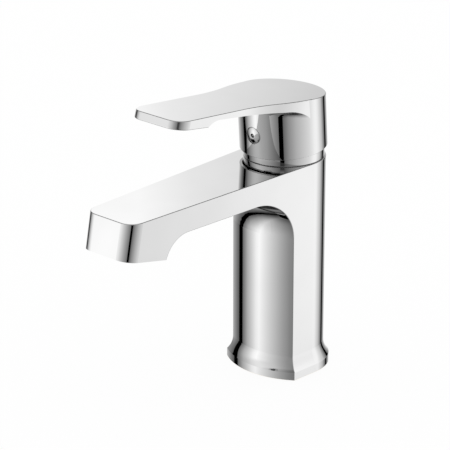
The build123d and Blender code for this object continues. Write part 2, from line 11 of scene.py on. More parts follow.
import bpy
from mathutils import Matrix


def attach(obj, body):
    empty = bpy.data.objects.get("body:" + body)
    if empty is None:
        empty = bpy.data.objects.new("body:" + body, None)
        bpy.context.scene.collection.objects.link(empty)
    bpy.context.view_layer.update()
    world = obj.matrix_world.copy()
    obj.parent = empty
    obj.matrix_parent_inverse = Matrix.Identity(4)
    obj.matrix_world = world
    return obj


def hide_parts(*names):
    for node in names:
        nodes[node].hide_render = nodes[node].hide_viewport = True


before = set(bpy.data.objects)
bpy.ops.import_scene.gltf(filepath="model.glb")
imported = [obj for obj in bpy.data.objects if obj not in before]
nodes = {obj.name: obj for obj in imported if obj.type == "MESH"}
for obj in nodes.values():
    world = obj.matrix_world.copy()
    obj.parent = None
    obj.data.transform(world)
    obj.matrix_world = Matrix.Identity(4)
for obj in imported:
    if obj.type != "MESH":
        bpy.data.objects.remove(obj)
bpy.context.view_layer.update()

scene = bpy.context.scene
scene.view_settings.view_transform = "Standard"

# %% [markdown]
# ## The camera
# The photograph was taken from far away with a long lens, because the spout's edges hardly converge.
# The place was worked out from the corners of the body, so it is written down as it is.
# The other way, moving the camera by eye until things line up, rarely gets both the height and the
# distance right.

# %% Camera
camera_place = (0.83462, -0.94293, 0.56768)
camera_azimuth = radians(42.944)
camera_elevation = radians(21.234)
lens_length = 200
sensor_width = 36
bpy.ops.object.camera_add(
    location=camera_place, rotation=(pi / 2 - camera_elevation, 0, camera_azimuth)
)
camera = bpy.context.object
camera.name = "camera"
camera.data.sensor_width = sensor_width
camera.data.lens = lens_length
scene.camera = camera
print("camera at", camera_place, "with a lens of", lens_length, "mm")


# %% [markdown]
# ## Helpers for node trees
# Every finish below is a small graph of nodes, and most of its nodes are small sums.
# One short function adds a node and sets its fields, a second writes one sum, and a third takes a
# point apart into its three coordinates. They keep each graph readable.

# %% Node helpers
def add_node(tree, kind, **fields):
    node = tree.nodes.new(kind)
    for name, value in fields.items():
        setattr(node, name, value)
    return node


def calc(tree, operation, *values):
    node = add_node(tree, "ShaderNodeMath", operation=operation)
    for socket, value in zip(node.inputs, values):
        if isinstance(value, (int, float)):
            socket.default_value = value
        else:
            tree.links.new(value, socket)
    return node.outputs[0]


def split_place(tree, vector):
    place = add_node(tree, "ShaderNodeSeparateXYZ")
    tree.links.new(vector, place.inputs[0])
    return place.outputs["X"], place.outputs["Y"], place.outputs["Z"]


# %% [markdown]
# ## The surroundings
# The background is plain white, at full strength, and gives every matt surface an even light.
# Mirror rays get nothing from it, because the panels below are all that the chrome shows.
# A photographed sky would be quicker, but then the chrome would show a room.

# %% World
full_strength = 1
world = bpy.data.worlds.new("studio")
scene.world = world
world.use_nodes = True
tree = world.node_tree
light_path = add_node(tree, "ShaderNodeLightPath")
strength = calc(tree, "SUBTRACT", full_strength, light_path.outputs["Is Glossy Ray"])
background = tree.nodes["Background"]
background.inputs["Color"].default_value = (1, 1, 1, 1)
tree.links.new(strength, background.inputs["Strength"])
print("world", world.name, len(tree.nodes), "nodes")

# %% [markdown]
# ## The floor
# A pale sheet carries the mixer. Seen by the camera it is mostly lit from within, so that it reaches
# white, and the rest of its colour comes from real light, which leaves a faint shadow round the foot.
# The chrome doesn't see the sheet, because in the photograph it mirrors the panels all the way down.

# %% Floor
floor_size = 6
floor_drop = 0.0004
glow_share = 0.94
paper_tone = (0.95, 0.95, 0.95, 1)


def bare_material(name):
    material = bpy.data.materials.new(name)
    material.use_nodes = True
    tree = material.node_tree
    tree.nodes.clear()
    output = add_node(tree, "ShaderNodeOutputMaterial")
    return material, tree, output.inputs["Surface"]


bpy.ops.object.select_all(action="DESELECT")
bpy.ops.mesh.primitive_plane_add(size=floor_size, location=(0, 0, -floor_drop))
floor = bpy.context.object
floor.name = "floor"
bpy.ops.object.transform_apply(location=True)
floor.visible_glossy = False
sheet, tree, surface = bare_material("pale_sheet")
light_path = add_node(tree, "ShaderNodeLightPath")
share = calc(tree, "MULTIPLY", light_path.outputs["Is Camera Ray"], glow_share)
paper = add_node(tree, "ShaderNodeBsdfDiffuse")
paper.inputs["Color"].default_value = paper_tone
glow = add_node(tree, "ShaderNodeEmission")
blend = add_node(tree, "ShaderNodeMixShader")
tree.links.new(share, blend.inputs[0])
tree.links.new(paper.outputs[0], blend.inputs[1])
tree.links.new(glow.outputs[0], blend.inputs[2])
tree.links.new(blend.outputs[0], surface)
floor.data.materials.append(sheet)
print("floor", floor_size, "m wide")

# %% [markdown]
# ## Shades from steps
# Chrome has no colour of its own, so its looks are the looks of the studio.
# Three curved panels will stand round the mixer as a light tent, each drawn as a list of steps.
# A step is a place and the shade there. A Map Range node brings the places to the scale of a Color
# Ramp, and the ramp draws the line through the shades.
# A second helper blends two tones by a share. A Mix node has a set of sockets for each kind of value,
# all with the same names, so those for colours are found by their number.
# Painting the panels would work too, but a painted shade can't be corrected by one number.

# %% Shade helpers
first_tone, second_tone, blended_tone = 6, 7, 2


def gradient(tree, value, steps):
    start, end = steps[0][0], steps[-1][0]
    spread = add_node(tree, "ShaderNodeMapRange")
    spread.inputs["From Min"].default_value = start
    spread.inputs["From Max"].default_value = end
    ramp = add_node(tree, "ShaderNodeValToRGB")
    stops = ramp.color_ramp.elements
    while len(stops) < len(steps):
        stops.new(position=0.5)
    for stop, (place, shade) in zip(stops, steps):
        stop.position = (place - start) / (end - start)
        stop.color = (shade, shade, shade, 1)
    tree.links.new(value, spread.inputs["Value"])
    tree.links.new(spread.outputs[0], ramp.inputs[0])
    return ramp.outputs["Color"]


def blend_tones(tree, share, first, second):
    mix = add_node(tree, "ShaderNodeMix", data_type="RGBA")
    tree.links.new(share, mix.inputs["Factor"])
    for number, tone in ((first_tone, first), (second_tone, second)):
        if isinstance(tone, tuple):
            mix.inputs[number].default_value = tone
        else:
            tree.links.new(tone, mix.inputs[number])
    return mix.outputs[blended_tone]


# %% [markdown]
# ## How a panel glows
# Along a panel the shade follows the bearing, seen from the front of the mixer, and upwards it falls
# off along one list of heights that all three share. Where a panel changes with its height, a row of
# its own takes over, softly, between two heights.
# The shades are written as they look on the screen, so a power turns them into light, and a division
# makes up for what the chrome swallows.

# %% Panel glow
tent_centre = (0, -0.03, 0)
display_gamma = 2.2
chrome_share = 0.57
height_steps = [
    (-1.2, 0.43), (-0.92, 0.55), (-0.63, 0.705), (-0.37, 0.835), (-0.16, 0.972), (-0.1, 0.99),
    (-0.04, 0.99), (0.03, 0.99), (0.2, 0.995), (0.35, 0.99), (0.37, 0.97), (0.387, 0.95),
    (0.4, 0.91), (0.46, 0.85), (0.6, 0.75),
]


def panel_glow(name, steps, upper_rows):
    material, tree, surface = bare_material(name + "_glow")
    place = add_node(tree, "ShaderNodeTexCoord")
    from_centre = add_node(tree, "ShaderNodeVectorMath", operation="SUBTRACT")
    from_centre.inputs[1].default_value = tent_centre
    tree.links.new(place.outputs["Object"], from_centre.inputs[0])
    sideways, backwards, height = split_place(tree, from_centre.outputs[0])
    forwards = calc(tree, "MULTIPLY", backwards, -1)
    turn = calc(tree, "DEGREES", calc(tree, "ARCTAN2", sideways, forwards))
    shade = gradient(tree, turn, steps)
    for low, high, row_steps in upper_rows:
        rise = add_node(tree, "ShaderNodeMapRange", interpolation_type="SMOOTHSTEP")
        rise.inputs["From Min"].default_value = low
        rise.inputs["From Max"].default_value = high
        tree.links.new(height, rise.inputs["Value"])
        shade = blend_tones(tree, rise.outputs[0], shade, gradient(tree, turn, row_steps))
    seen = calc(tree, "MULTIPLY", shade, gradient(tree, height, height_steps))
    light = calc(tree, "DIVIDE", calc(tree, "POWER", seen, display_gamma), chrome_share)
    glow = add_node(tree, "ShaderNodeEmission")
    tree.links.new(light, glow.inputs["Strength"])
    tree.links.new(glow.outputs[0], surface)
    return material


# %% [markdown]
# ## How a panel is shaped
# Each panel starts as a tube round the mixer, and the faces outside its own stretch are deleted.
# The tube reaches far below the floor, because most of the chrome is seen from above and looks down.
# Only mirror rays see a panel, so the picture keeps its white background and its faint shadow.
# Lamps could light the mixer too, but a lamp is a small bright spot in a mirror, and a panel is a
# long soft gradient.

# %% Panel shape
tent_radius = 0.45
tent_base = -1.5
tent_top = 0.6
tent_faces = 360
hidden_from = ("camera", "diffuse", "transmission", "volume_scatter", "shadow")


def select_faces(piece, wanted):
    bpy.ops.object.mode_set(mode="EDIT")
    bpy.ops.mesh.select_mode(type="FACE")
    bpy.ops.mesh.select_all(action="DESELECT")
    bpy.ops.object.mode_set(mode="OBJECT")
    for face in piece.data.polygons:
        face.select = wanted(face)
    bpy.ops.object.mode_set(mode="EDIT")


def add_tube(name, faces, radius, low, high):
    bpy.ops.object.select_all(action="DESELECT")
    bpy.ops.mesh.primitive_cylinder_add(
        vertices=faces,
        radius=radius,
        depth=high - low,
        end_fill_type="NOTHING",
        location=(tent_centre[0], tent_centre[1], (high + low) / 2),
    )
    tube = bpy.context.object
    tube.name = name
    bpy.ops.object.transform_apply(location=True)
    return tube


def bearing(spot):
    return degrees(atan2(spot.x - tent_centre[0], tent_centre[1] - spot.y))


def hang_panel(panel, glow):
    panel.data.materials.append(glow)
    for kind in hidden_from:
        setattr(panel, "visible_" + kind, False)
    print(panel.name, len(panel.data.polygons), "faces")


def soft_panel(name, steps, *upper_rows):
    start, end = steps[0][0], steps[-1][0]
    panel = add_tube(name, tent_faces, tent_radius, tent_base, tent_top)
    select_faces(panel, lambda face: not start < bearing(face.center) < end)
    bpy.ops.mesh.delete(type="FACE")
    bpy.ops.object.mode_set(mode="OBJECT")
    hang_panel(panel, panel_glow(name, steps, upper_rows))


# %% [markdown]
# ## Where the panels stand
# Each pair below is a bearing in degrees and a shade, and each panel is brightest near its middle and
# dark at its edges. In the gap between two panels, every upright surface shows a narrow black line.
# The front panel lights the nose and the left of the column, the right panel the long side, and the
# rear panel the lever and the top of the spout. An upper row starts with the two heights between
# which it takes over. Only the rounded edges look high up into the panels, so each panel is partly
# dark there, which draws a thin dark line along each upper edge.

# %% Panels
soft_panel(
    "panel_front",
    [(-73, 0.40), (-60, 0.68), (-40, 0.945), (-33, 0.99), (0, 0.735), (25, 0.52), (34, 0.43)],
    (0.06, 0.2, [
        (-73, 0.40), (-60, 0.66), (-44, 0.84), (-36, 0.88), (-28, 0.88), (0, 0.735), (25, 0.52),
        (34, 0.43),
    ]),
    (0.42, 0.47, [
        (-73, 0.0), (-46, 0.03), (-39, 0.9), (-33, 0.95), (0, 0.75), (25, 0.5), (34, 0.4),
    ]),
)
soft_panel(
    "panel_right",
    [
        (45.5, 0.36), (50, 0.43), (60, 0.54), (80, 0.68), (95, 0.75), (110, 0.815), (118, 0.85),
        (124, 0.885), (128, 0.912), (132, 0.938), (138, 0.957), (143, 0.952), (160, 0.76),
        (173.5, 0.42),
    ],
    (0.42, 0.47, [(45.5, 0.7), (100, 0.7), (125, 0.4), (140, 0.0), (173.5, 0.0)]),
)
soft_panel(
    "panel_rear",
    [
        (-177, 0.45), (-160, 0.76), (-148, 0.87), (-130, 0.80), (-110, 0.71), (-95, 0.52),
        (-84, 0.36),
    ],
    (0.0, 0.16, [
        (-177, 0.5), (-160, 0.66), (-150, 0.75), (-144, 0.81), (-140.6, 0.842), (-137, 0.8725),
        (-132.7, 0.907), (-127.7, 0.98), (-122, 0.985), (-105, 0.78), (-84, 0.36),
    ]),
    (0.44, 0.5, [
        (-177, 0.0), (-162, 0.1), (-156, 0.7), (-140, 0.85), (-122, 0.98), (-105, 0.78), (-84, 0.5),
    ]),
)

# %% [markdown]
# ## The top of the tent
# The tent is open above, and a mirror seen from higher up would show black there.
# A round lid closes it, bright in the middle and softer at its rim, and a ring stands behind the
# panels and carries the lid, so that their upper gaps aren't black either. A dimmer ring hangs below
# it, for the flat tops seen from behind. It is open at the left gap, whose black line the
# photograph shows in the top of the spout.
# Each glows from one list of steps, the lid by the distance from its middle, the rings by height.

# %% Top of the tent
lid_faces = 96
lid_radius = tent_radius + 0.015
lid_centre = (tent_centre[0], tent_centre[1], 0.8)
lid_steps = [(0, 0.95), (0.2, 0.8), (lid_radius, 0.35)]
ring_base = 0.35
ring_steps = [(ring_base, 0.24), (0.4, 0.4), (0.6, 0.45), (lid_centre[2], 0.35)]
low_ring_base = 0.18
low_ring_steps = [(low_ring_base, 0), (0.2, 0.09), (0.3, 0.09), (ring_base, 0.24)]
left_gap = (-90, -67)


def plain_glow(name, measure, steps):
    material, tree, surface = bare_material(name + "_glow")
    place = add_node(tree, "ShaderNodeTexCoord")
    value = measure(tree, place.outputs["Object"])
    glow = add_node(tree, "ShaderNodeEmission")
    tree.links.new(gradient(tree, value, steps), glow.inputs["Color"])
    tree.links.new(glow.outputs[0], surface)
    return material


def from_middle(tree, place):
    reach = add_node(tree, "ShaderNodeVectorMath", operation="DISTANCE")
    reach.inputs[1].default_value = lid_centre
    tree.links.new(place, reach.inputs[0])
    return reach.outputs["Value"]


def by_height(tree, place):
    return split_place(tree, place)[2]


bpy.ops.object.select_all(action="DESELECT")
bpy.ops.mesh.primitive_circle_add(
    vertices=lid_faces, radius=lid_radius, fill_type="NGON", location=lid_centre
)
lid = bpy.context.object
lid.name = "panel_overhead"
bpy.ops.object.transform_apply(location=True)
hang_panel(lid, plain_glow(lid.name, from_middle, lid_steps))
ring = add_tube("panel_ring", lid_faces, lid_radius, ring_base, lid_centre[2])
hang_panel(ring, plain_glow(ring.name, by_height, ring_steps))
low_ring = add_tube("panel_low_ring", lid_faces, lid_radius, low_ring_base, ring_base)
select_faces(low_ring, lambda face: left_gap[0] < bearing(face.center) < left_gap[1])
bpy.ops.mesh.delete(type="FACE")
bpy.ops.object.mode_set(mode="OBJECT")
hang_panel(low_ring, plain_glow(low_ring.name, by_height, low_ring_steps))


# %% [markdown]
# ## Groups for the finishes
# A finish is built from a few effects that more than one material uses, and each is a node group.
# A group is like a stencil: it is cut once, and each material that uses it gives its own sizes.
# The first helper starts a group, and the second places it in a material. The third measures how far
# a point lies from an upright axis, which several groups need.

# %% Group helpers
def new_group(name, inputs, outputs):
    group = bpy.data.node_groups.new(name, "ShaderNodeTree")
    sockets = group.interface
    sockets.new_socket("Vector", in_out="INPUT", socket_type="NodeSocketVector")
    for label, value in inputs:
        socket = sockets.new_socket(label, in_out="INPUT", socket_type="NodeSocketFloat")
        socket.default_value = value
    for label in outputs:
        sockets.new_socket(label, in_out="OUTPUT", socket_type="NodeSocketFloat")
    given = add_node(group, "NodeGroupInput").outputs
    result = add_node(group, "NodeGroupOutput").inputs
    return group, given, result


def place_group(tree, group, vector, **values):
    node = add_node(tree, "ShaderNodeGroup", node_tree=group)
    tree.links.new(vector, node.inputs["Vector"])
    for label, value in values.items():
        node.inputs[label].default_value = value
    return node.outputs


def axis_distance(tree, x, y):
    squares = calc(tree, "ADD", calc(tree, "POWER", x, 2), calc(tree, "POWER", y, 2))
    return calc(tree, "SQRT", squares)


# %% [markdown]
# ## Clouds
# No surface is evenly smooth. Polishing, moulding and handling leave soft patches that shine a little
# more or less. A noise texture, spread between a low and a high value, gives such patches to the
# roughness and to the colours. Its ends are cut off, because noise hardly ever reaches them.

# %% Clouds
noise_detail = 3
noise_low, noise_high = 0.3, 0.7
clouds, given, result = new_group(
    "clouds", [("Scale", 50), ("Low", 0.2), ("High", 0.4)], ["Value"]
)
noise = add_node(clouds, "ShaderNodeTexNoise")
noise.inputs["Detail"].default_value = noise_detail
spread = add_node(clouds, "ShaderNodeMapRange")
spread.inputs["From Min"].default_value = noise_low
spread.inputs["From Max"].default_value = noise_high
clouds.links.new(given["Vector"], noise.inputs["Vector"])
clouds.links.new(given["Scale"], noise.inputs["Scale"])
clouds.links.new(noise.outputs["Fac"], spread.inputs["Value"])
clouds.links.new(given["Low"], spread.inputs["To Min"])
clouds.links.new(given["High"], spread.inputs["To Max"])
clouds.links.new(spread.outputs[0], result["Value"])
print(clouds.name, len(clouds.nodes), "nodes")

# %% [markdown]
# ## Inside a bore
# Plating covers what shows. Inside the holes and the handle the bare casting is left, as the cutter
# left it. This group answers one question: is a point inside a cylinder that stands on the Z axis?
# A Mapping node in the material first moves and turns the axis to where the hole is.

# %% Inside a bore
bore, given, result = new_group(
    "inside_bore", [("Radius", 0.01), ("Bottom", 0), ("Top", 0.1)], ["Mask"]
)
x, y, z = split_place(bore, given["Vector"])
inside = calc(bore, "LESS_THAN", axis_distance(bore, x, y), given["Radius"])
above = calc(bore, "GREATER_THAN", z, given["Bottom"])
below = calc(bore, "LESS_THAN", z, given["Top"])
level = calc(bore, "MULTIPLY", above, below)
bore.links.new(calc(bore, "MULTIPLY", inside, level), result["Mask"])
print(bore.name, len(bore.nodes), "nodes")

# %% [markdown]
# ## Turning marks
# A lathe tool leaves fine grooves round the axis. The height and the distance from the axis are added
# and counted in pitches, so that walls and flat faces both get rings.
# The grooves are far finer than any face of a mesh, so a bump is the right place for them.

# %% Turning marks
turning, given, result = new_group("turning_marks", [("Pitch", 0.0003)], ["Height"])
x, y, z = split_place(turning, given["Vector"])
way = calc(turning, "ADD", axis_distance(turning, x, y), z)
count = calc(turning, "DIVIDE", way, given["Pitch"])
turning.links.new(calc(turning, "PINGPONG", count, 1), result["Height"])
print(turning.name, len(turning.nodes), "nodes")

# %% [markdown]
# ## Hidden screw threads
# A thread is one groove that climbs as it goes round: the height in pitches, shifted by the angle.
# This group is for the nut and the set screw, which sit inside and never show.
# The threads that can be seen, under the foot, are modelled further down.

# %% Hidden screw threads
thread, given, result = new_group("screw_thread", [("Pitch", 0.00125)], ["Height"])
x, y, z = split_place(thread, given["Vector"])
half_turns = calc(thread, "DIVIDE", calc(thread, "ARCTAN2", y, x), pi)
climb = calc(thread, "MULTIPLY", calc(thread, "DIVIDE", z, given["Pitch"]), 2)
count = calc(thread, "SUBTRACT", climb, half_turns)
thread.links.new(calc(thread, "PINGPONG", count, 1), result["Height"])
print(thread.name, len(thread.nodes), "nodes")

# %% [markdown]
# ## Moulded grain
# Plastic and rubber take the skin of their mould: tiny pits, and here and there a paler speck of
# filler. One group gives both, and each material chooses the size of the grain.

# %% Moulded grain
pit_detail = 4
speck_size = 0.16
grain, given, result = new_group("moulded_grain", [("Scale", 1500)], ["Height", "Speck"])
pits = add_node(grain, "ShaderNodeTexNoise")
pits.inputs["Detail"].default_value = pit_detail
cells = add_node(grain, "ShaderNodeTexVoronoi")
for texture in (pits, cells):
    grain.links.new(given["Vector"], texture.inputs["Vector"])
    grain.links.new(given["Scale"], texture.inputs["Scale"])
speck = calc(grain, "LESS_THAN", cells.outputs["Distance"], speck_size)
grain.links.new(pits.outputs["Fac"], result["Height"])
grain.links.new(speck, result["Speck"])
print(grain.name, len(grain.nodes), "nodes")


# %% [markdown]
# ## Helpers for the materials
# Each material starts from Blender's own shader. One helper makes it, one moves and turns the pattern
# to an axis of the mixer, and one joins the finished colour, shine and height to the shader.
# The height of every mark is written in metres, so the Bump node's own distance is one metre.

# %% Material helpers
bump_distance = 1


def new_material(name, metal=0):
    material = bpy.data.materials.new(name)
    material.use_nodes = True
    tree = material.node_tree
    shader = tree.nodes["Principled BSDF"]
    shader.inputs["Metallic"].default_value = metal
    return material, tree, shader


def centred(tree, place=(0, 0, 0), turn=(0, 0, 0)):
    spot = add_node(tree, "ShaderNodeTexCoord")
    mapping = add_node(tree, "ShaderNodeMapping", vector_type="TEXTURE")
    mapping.inputs["Location"].default_value = place
    mapping.inputs["Rotation"].default_value = turn
    tree.links.new(spot.outputs["Object"], mapping.inputs["Vector"])
    return mapping.outputs[0]


def lay_finish(tree, shader, colour, rough, height):
    bump = add_node(tree, "ShaderNodeBump")
    bump.inputs["Distance"].default_value = bump_distance
    tree.links.new(height, bump.inputs["Height"])
    tree.links.new(colour, shader.inputs["Base Color"])
    tree.links.new(rough, shader.inputs["Roughness"])
    tree.links.new(bump.outputs[0], shader.inputs["Normal"])


# %% [markdown]
# ## Polished chrome
# The plating is a very thin layer of chromium over polished brass. Chromium gives back a little more
# than half of the light, which is why two mirrors facing each other, as under the handle, soon turn
# dark. A chromium mirror hardly brightens at a slant, so the shader's edge tint is set below white.
# The bare places take the colour of the casting, a rougher skin and the marks of the cutter.

# %% Chrome helper
polish_height = 1.5e-7
cutter_height = 6e-6
bright_tone = (0.585, 0.585, 0.585, 1)
soft_tone = (0.56, 0.56, 0.56, 1)
edge_tone = (0.85, 0.85, 0.85, 1)
bare_tone = (0.72, 0.56, 0.30, 1)


def bare_mask(tree, spot, bores, bare_below):
    masks = []
    for centre, turn, sizes in bores:
        axis = centred(tree, centre, turn)
        masks.append(place_group(tree, bore, axis, **sizes)["Mask"])
    if bare_below is not None:
        height = split_place(tree, spot)[2]
        masks.append(calc(tree, "LESS_THAN", height, bare_below))
    bare = masks[0]
    for mask in masks[1:]:
        bare = calc(tree, "MAXIMUM", bare, mask)
    return bare


def chrome_finish(name, bores=(), bare_below=None):
    material, tree, shader = new_material(name, metal=1)
    shader.inputs["Specular Tint"].default_value = edge_tone
    spot = centred(tree)
    rough = place_group(tree, clouds, spot, Scale=45, Low=0.012, High=0.03)["Value"]
    patch = place_group(tree, clouds, spot, Scale=25, Low=0, High=1)["Value"]
    height = place_group(tree, clouds, spot, Scale=900, Low=0, High=polish_height)["Value"]
    colour = blend_tones(tree, patch, soft_tone, bright_tone)
    if bores:
        bare = bare_mask(tree, spot, bores, bare_below)
        marks = place_group(tree, turning, spot, Pitch=0.0004)["Height"]
        dull = place_group(tree, clouds, spot, Scale=300, Low=0.28, High=0.42)["Value"]
        cut = calc(tree, "MULTIPLY", calc(tree, "MULTIPLY", bare, marks), cutter_height)
        colour = blend_tones(tree, bare, colour, bare_tone)
        rough = calc(tree, "ADD", rough, calc(tree, "MULTIPLY", bare, dull))
        height = calc(tree, "ADD", height, cut)
    lay_finish(tree, shader, colour, rough, height)
    print(name, len(tree.nodes), "nodes")
    return material


# %% [markdown]
# ## Three chromed finishes
# The body is bare below the foot, in the cartridge chamber, and in the tapped holes for the stud and
# the two hoses. The handle is bare inside its skirt, whose axis leans forward with the lever.
# The small pieces are plated all over.

# %% Chrome finishes
upright = (0, 0, 0)
handle_lean = (radians(4), 0, 0)
column_place = (0, 0, 0)
pivot_place = (0, 0, 0.1205)
stud_place = (0, 0.011, 0)
hose_places = [(-0.0064, -0.005, 0), (0.0064, -0.005, 0)]
chamber = {"Radius": 0.0193, "Bottom": 0.085, "Top": 0.1194}
stud_hole = {"Radius": 0.0036, "Bottom": -0.001, "Top": 0.0185}
hose_hole = {"Radius": 0.0047, "Bottom": -0.001, "Top": 0.095}
skirt_hollow = {"Radius": 0.0226, "Bottom": 0.0052, "Top": 0.0316}
foot_face = 0.00005
body_bores = [(column_place, upright, chamber), (stud_place, upright, stud_hole)]
body_bores += [(place, upright, hose_hole) for place in hose_places]
body_chrome = chrome_finish("body_chrome", body_bores, foot_face)
handle_chrome = chrome_finish("handle_chrome", [(pivot_place, handle_lean, skirt_hollow)])
trim_chrome = chrome_finish("trim_chrome")

# %% [markdown]
# ## Turned brass
# The clamping nut and the spindle are cut from brass bar, and nothing covers them.
# The tool leaves rings, handling leaves slightly browner patches, and the nut carries a fine thread
# low on its outside. The thread stays between two heights and outside the nut's core.

# %% Brass
clean_brass = (0.80, 0.64, 0.35, 1)
brown_brass = (0.69, 0.52, 0.26, 1)
ring_depth = 5e-6
nut_groove_depth = 3e-4
nut_core = {"Radius": 0.018, "Bottom": 0, "Top": 1}
nut_end = {"Radius": 0.05, "Bottom": 0.1135, "Top": 0.1194}
brass, tree, shader = new_material("turned_brass", metal=1)
spot = centred(tree)
patch = place_group(tree, clouds, spot, Scale=140, Low=0, High=1)["Value"]
dull = place_group(tree, clouds, spot, Scale=400, Low=0.18, High=0.34)["Value"]
rings = place_group(tree, turning, spot, Pitch=0.00035)["Height"]
groove = place_group(tree, thread, spot, Pitch=0.001)["Height"]
core = place_group(tree, bore, spot, **nut_core)["Mask"]
end = place_group(tree, bore, spot, **nut_end)["Mask"]
outside = calc(tree, "MULTIPLY", end, calc(tree, "SUBTRACT", 1, core))
cut = calc(tree, "MULTIPLY", calc(tree, "MULTIPLY", outside, groove), nut_groove_depth)
height = calc(tree, "MULTIPLY_ADD", rings, ring_depth, cut)
lay_finish(tree, shader, blend_tones(tree, patch, clean_brass, brown_brass), dull, height)
print(brass.name, len(tree.nodes), "nodes")

# %% [markdown]
# ## Stainless steel
# The pivot pin is ground along its length, and the set screw is threaded from end to end.
# The pin's hairlines are noise that is squeezed across and stretched along. The screw's axis leans
# with the handle, so its Mapping turns it upright before the thread is counted. The aerator's screen
# is woven from wire a quarter of a millimetre thick, with one set of ridges along and one across.

# %% Steel
grey_steel = (0.60, 0.61, 0.63, 1)
pale_steel = (0.66, 0.67, 0.68, 1)
hairline_stretch = (0.02, 1, 1)
hairline_depth = 4e-6
screw_place = (0, 0, 0.1376)
screw_turn = (radians(94), 0, 0)
screw_groove_depth = 2.5e-4
wire_width = 0.00025
wire_depth = 1.2e-4


def steel_finish(name, height_of):
    material, tree, shader = new_material(name, metal=1)
    spot = centred(tree)
    patch = place_group(tree, clouds, spot, Scale=300, Low=0, High=1)["Value"]
    dull = place_group(tree, clouds, spot, Scale=700, Low=0.16, High=0.28)["Value"]
    colour = blend_tones(tree, patch, grey_steel, pale_steel)
    lay_finish(tree, shader, colour, dull, height_of(tree, spot))
    print(name, len(tree.nodes), "nodes")
    return material


def hairlines(tree, spot):
    squeeze = add_node(tree, "ShaderNodeMapping")
    squeeze.inputs["Scale"].default_value = hairline_stretch
    tree.links.new(spot, squeeze.inputs["Vector"])
    lines = place_group(tree, clouds, squeeze.outputs[0], Scale=6000, Low=0, High=hairline_depth)
    return lines["Value"]


def screw_grooves(tree, spot):
    axis = centred(tree, screw_place, screw_turn)
    groove = place_group(tree, thread, axis, Pitch=0.0008)["Height"]
    return calc(tree, "MULTIPLY", groove, screw_groove_depth)


def woven_wire(tree, spot):
    x, y, z = split_place(tree, spot)
    warp = calc(tree, "PINGPONG", calc(tree, "DIVIDE", x, wire_width), 1)
    weft = calc(tree, "PINGPONG", calc(tree, "DIVIDE", y, wire_width), 1)
    return calc(tree, "MULTIPLY", calc(tree, "MAXIMUM", warp, weft), wire_depth)


pin_steel = steel_finish("ground_steel", hairlines)
screw_steel = steel_finish("screw_steel", screw_grooves)
screen_steel = steel_finish("woven_steel", woven_wire)


# %% [markdown]
# ## Plastic and rubber
# The cartridge is moulded from pale engineering plastic, the aerator from a dark one, and the seals
# from black rubber. They differ in colour, shine and grain, so one function makes all three from the
# moulded grain and the clouds.

# %% Plastic and rubber
def moulded_finish(name, tones, speck_tone, shine, scale, depth):
    material, tree, shader = new_material(name)
    spot = centred(tree)
    patch = place_group(tree, clouds, spot, Scale=110, Low=0, High=1)["Value"]
    dull = place_group(tree, clouds, spot, Scale=500, Low=shine[0], High=shine[1])["Value"]
    skin = place_group(tree, grain, spot, Scale=scale)
    colour = blend_tones(tree, skin["Speck"], blend_tones(tree, patch, *tones), speck_tone)
    lay_finish(tree, shader, colour, dull, calc(tree, "MULTIPLY", skin["Height"], depth))
    print(name, len(tree.nodes), "nodes")
    return material


pale_plastic = moulded_finish(
    "cartridge_plastic",
    tones=((0.80, 0.81, 0.82, 1), (0.84, 0.845, 0.85, 1)),
    speck_tone=(0.76, 0.77, 0.78, 1),
    shine=(0.38, 0.5),
    scale=2200,
    depth=6e-6,
)
dark_plastic = moulded_finish(
    "aerator_plastic",
    tones=((0.055, 0.058, 0.062, 1), (0.075, 0.078, 0.083, 1)),
    speck_tone=(0.10, 0.10, 0.105, 1),
    shine=(0.34, 0.46),
    scale=2600,
    depth=5e-6,
)
rubber = moulded_finish(
    "black_rubber",
    tones=((0.022, 0.022, 0.024, 1), (0.034, 0.034, 0.036, 1)),
    speck_tone=(0.06, 0.06, 0.062, 1),
    shine=(0.55, 0.72),
    scale=1800,
    depth=9e-6,
)

# %% [markdown]
# ## Lapped ceramic
# The two discs are alumina, ground so flat that they seal against each other without rubber.
# The lapping wheel leaves arcs too fine to see, apart from a faint change in shine, and the sintered
# grains show as specks that are slightly warmer than the rest.

# %% Ceramic
warm_ceramic = (0.90, 0.89, 0.86, 1)
white_ceramic = (0.94, 0.93, 0.905, 1)
ceramic_speck = (0.86, 0.84, 0.79, 1)
lapping_depth = 4e-7
ceramic, tree, shader = new_material("lapped_ceramic")
spot = centred(tree)
skin = place_group(tree, grain, spot, Scale=3000)
patch = place_group(tree, clouds, spot, Scale=160, Low=0, High=1)["Value"]
dull = place_group(tree, clouds, spot, Scale=250, Low=0.1, High=0.2)["Value"]
arcs = place_group(tree, turning, spot, Pitch=0.0002)["Height"]
tone = blend_tones(tree, patch, warm_ceramic, white_ceramic)
colour = blend_tones(tree, skin["Speck"], tone, ceramic_speck)
lay_finish(tree, shader, colour, dull, calc(tree, "MULTIPLY", arcs, lapping_depth))
print(ceramic.name, len(tree.nodes), "nodes")

# %% [markdown]
# ## Dressing the CAD pieces
# Every CAD piece has one material slot. Its own finish goes into that slot, and the shape stays as
# it is.

